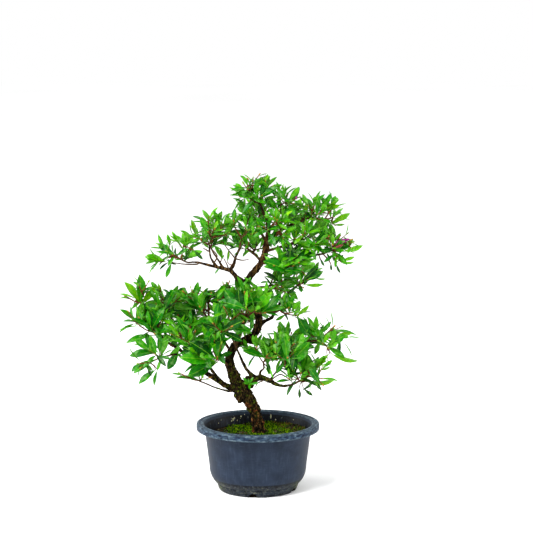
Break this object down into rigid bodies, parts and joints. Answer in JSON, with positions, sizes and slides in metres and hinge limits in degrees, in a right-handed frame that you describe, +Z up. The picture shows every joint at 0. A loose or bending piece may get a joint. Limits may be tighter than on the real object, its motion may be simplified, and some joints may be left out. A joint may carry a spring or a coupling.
{
  "type": "azalea shrub",
  "caption": "Azalea shrub trained as a small bonsai: a leaning, winding trunk carries loose tiers of leafy boughs above mossy soil in a round plastic pot with a broad rim.",
  "frame": {"origin": "centre of the pot's flat underside", "axes": "+Z up, -Y towards the tree's front, +X to the right of a viewer who faces the front"},
  "size_m": [0.2983, 0.15, 0.3872],
  "materials": {
    "pot": "worn satin",
    "soil": "mossy",
    "bark": "rough",
    "leaf": "satin"
  },
  "bodies": {
    "root": {"pot": "pot", "soil": "soil", "trunk": "bark", "bough_low_left": "bark", "bough_low_left_end": "bark", "bough_low_left_under": "bark", "bough_low_left_top": "bark", "bough_low_left_inner": "bark", "bough_low_left_lowest": "bark", "bough_low_left_back": "bark", "bough_low_right": "bark", "bough_low_rise": "bark", "bough_low_right_near": "bark", "bough_low_right_mid": "bark", "bough_mid_right_low": "bark", "bough_low_right_back": "bark", "bough_right_rise": "bark", "bough_upper_left": "bark", "bough_left_inner": "bark", "bough_left_back": "bark", "bough_left_fork": "bark", "bough_crown_right_low": "bark", "bough_crown_right": "bark", "bough_crown_top": "bark", "foliage_apex": "leaf", "foliage_crown_top": "leaf", "foliage_crown_right": "leaf", "foliage_crown_outer": "leaf", "foliage_crown_front": "leaf", "foliage_crown_inner": "leaf", "foliage_crown_left": "leaf", "foliage_crown_under": "leaf", "foliage_crown_back_left": "leaf", "foliage_crown_back_right": "leaf", "foliage_mid_right": "leaf", "foliage_mid_right_outer": "leaf", "foliage_mid_back": "leaf", "foliage_mid_right_near": "leaf", "foliage_left_tip": "leaf", "foliage_left_inner": "leaf", "foliage_left_back": "leaf", "foliage_low_left_end": "leaf", "foliage_low_left_tip": "leaf", "foliage_low_left_under": "leaf", "foliage_low_left_top": "leaf", "foliage_low_left_mid": "leaf", "foliage_low_left_inner": "leaf", "foliage_low_left_lowest": "leaf", "foliage_low_centre_left": "leaf", "foliage_low_centre_top": "leaf", "foliage_low_centre_front": "leaf", "foliage_low_centre": "leaf", "foliage_low_left_back": "leaf", "foliage_low_centre_back": "leaf", "foliage_low_right_near": "leaf", "foliage_low_right_mid": "leaf", "foliage_low_right_under": "leaf", "foliage_low_right_tip": "leaf", "foliage_low_right_back": "leaf"}
  },
  "joints": []
}
